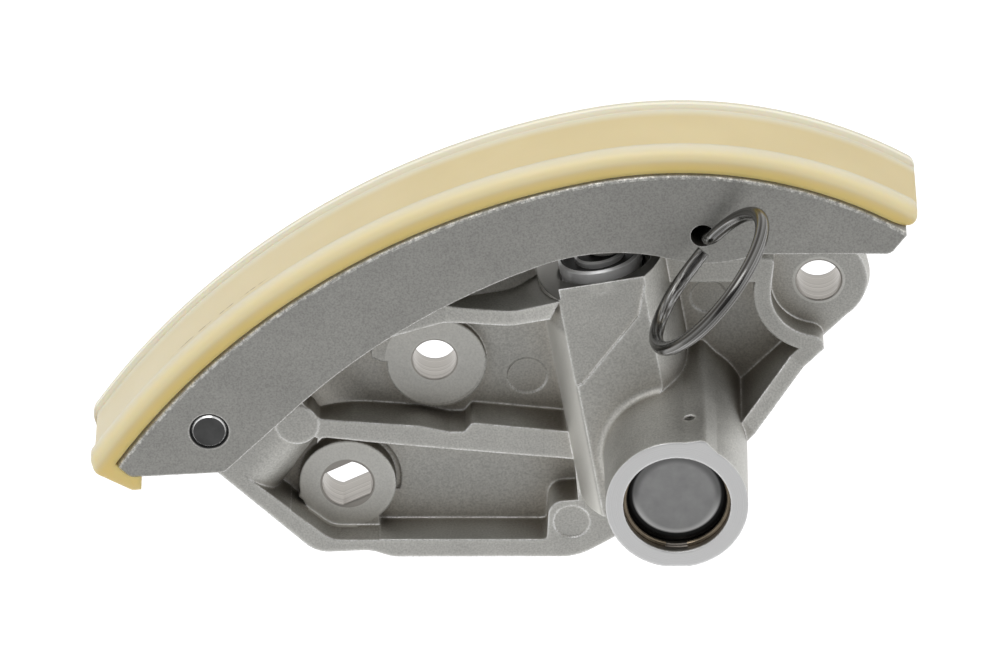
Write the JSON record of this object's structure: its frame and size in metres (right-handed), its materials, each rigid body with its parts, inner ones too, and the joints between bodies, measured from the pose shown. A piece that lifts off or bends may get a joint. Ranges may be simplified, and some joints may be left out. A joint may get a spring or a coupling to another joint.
{
  "type": "timing chain guide",
  "caption": "Curved timing chain guide: a channelled plastic shoe on a pivoting cast arm, pushed by an oil-fed spring piston in a die-cast bolted housing, with a pull-ring locking pin.",
  "frame": {"origin": "axis of the round bolt hole nearest the pivot, on the mounting face", "axes": "+X along the guide from the pivot end to the free end, +Z across it towards the chain, +Y into the engine; the mounting face is Y = 0"},
  "size_m": [0.1229, 0.0466, 0.0729],
  "materials": {
    "cast_housing": "fine blasted die casting",
    "cast_arm": "satin blasted die casting",
    "shoe_plastic": "smooth moulded, cream",
    "polished_steel": "ground and polished",
    "dark_steel": "dark hardened end with a bright chamfer",
    "wire_steel": "drawn spring wire",
    "ring_steel": "tempered spring wire",
    "cap_steel": "pressed sheet, satin",
    "seal_rubber": "smooth"
  },
  "bodies": {
    "base": {"housing": "cast_housing", "pivot_pin": "dark_steel", "reservoir_cap": "cap_steel", "cap_ring": "ring_steel", "cap_seal": "seal_rubber", "oil_strainer": "cap_steel", "valve_seat": "polished_steel", "valve_cage": "cap_steel", "ball_spring": "wire_steel", "piston_spring": "wire_steel"},
    "arm": {"lever_arm": "cast_arm", "guide_shoe": "shoe_plastic"},
    "plunger": {"piston": "polished_steel", "vent_disc": "cap_steel"},
    "pin": {"lock_pin": "wire_steel"},
    "ball": {"check_ball": "polished_steel"}
  },
  "joints": [
    {"name": "arm_swing", "type": "hinge", "parent": "base", "child": "arm", "pos_m": [-0.0336, -0.0115, -0.0053], "axis": [0, -1, 0], "range_deg": [0, 10]},
    {"name": "piston_slide", "type": "slide", "parent": "base", "child": "plunger", "axis": [-0.1736, 0, 0.9848], "range_m": [0, 0.0108], "deforming": ["piston_spring"]},
    {"name": "lock_pin_pull", "type": "slide", "parent": "arm", "child": "pin", "axis": [0, -1, 0], "range_m": [0, 0.0402]},
    {"name": "ball_lift", "type": "slide", "parent": "base", "child": "ball", "axis": [-0.1736, 0, 0.9848], "range_m": [0, 0.0005], "stiffness_N_per_m": 40, "deforming": ["ball_spring"]}
  ],
  "couplings": [
    {"joint": "piston_slide", "follows": "arm_swing", "m_per_rad": 0.0608},
    {"joint": "lock_pin_pull", "follows": "arm_swing", "m_per_rad": 0.2292}
  ]
}
